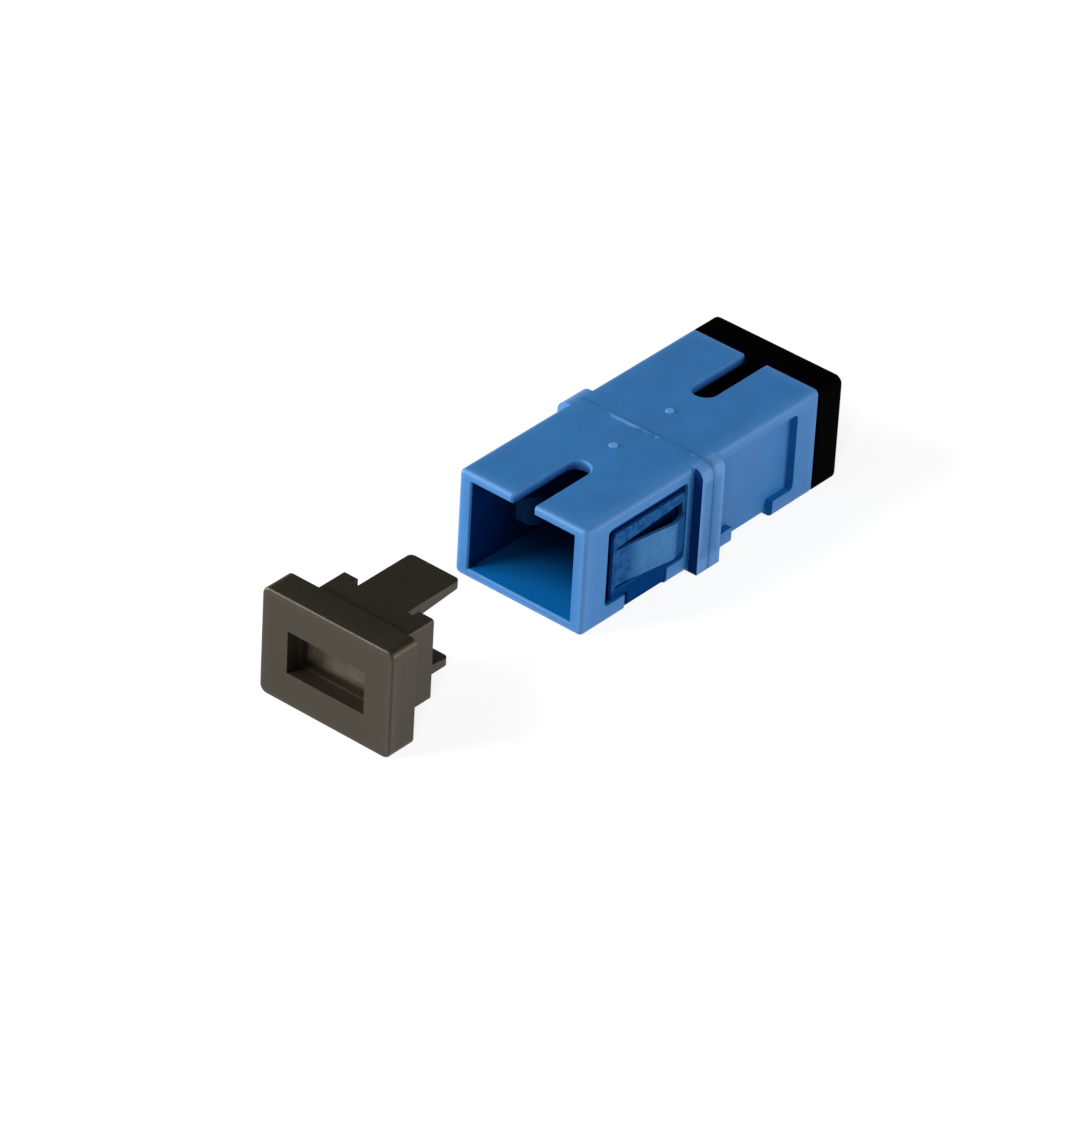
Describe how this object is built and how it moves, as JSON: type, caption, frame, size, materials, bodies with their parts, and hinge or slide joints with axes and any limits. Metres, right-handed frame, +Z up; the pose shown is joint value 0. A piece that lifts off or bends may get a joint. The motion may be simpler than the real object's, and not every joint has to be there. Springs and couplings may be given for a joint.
{
  "type": "sc simplex fibre adapter with dust plugs",
  "caption": "Square-bodied fibre coupler: keyed ports at both ends, side flange and spring clip for a panel, latch arms and split sleeve inside, and push-in dust plugs.",
  "frame": {"origin": "on the optical axis at the weld plane of the two halves, where the two ferrules meet", "axes": "+Y along the optical axis from the open front port to the plugged rear port, +Z up towards the key slots, +X to the right seen from the front"},
  "size_m": [0.0144, 0.0525, 0.0095],
  "materials": {
    "housing_blue": "fine satin moulded polyester, blue",
    "insert_blue": "satin moulded polyester, blue",
    "sleeve_ceramic": "polished white zirconia",
    "clip_blue": "thin blue coating on spring sheet",
    "plug_brown": "matt dark brown-black moulded plastic",
    "plug_black": "matt black moulded plastic"
  },
  "bodies": {
    "adapter": {"front_housing": "housing_blue", "rear_housing": "housing_blue", "front_latch_insert": "insert_blue", "rear_latch_insert": "insert_blue", "split_sleeve": "sleeve_ceramic", "panel_clip": "clip_blue"},
    "front_plug": {"front_dust_plug": "plug_brown"},
    "rear_plug": {"rear_dust_plug": "plug_black"}
  },
  "joints": [
    {"name": "front_plug_slide", "type": "slide", "parent": "adapter", "child": "front_plug", "axis": [0, 1, 0], "range_m": [0, 0.0193]},
    {"name": "rear_plug_slide", "type": "slide", "parent": "adapter", "child": "rear_plug", "axis": [0, 1, 0], "range_m": [0, 0.0193]}
  ]
}
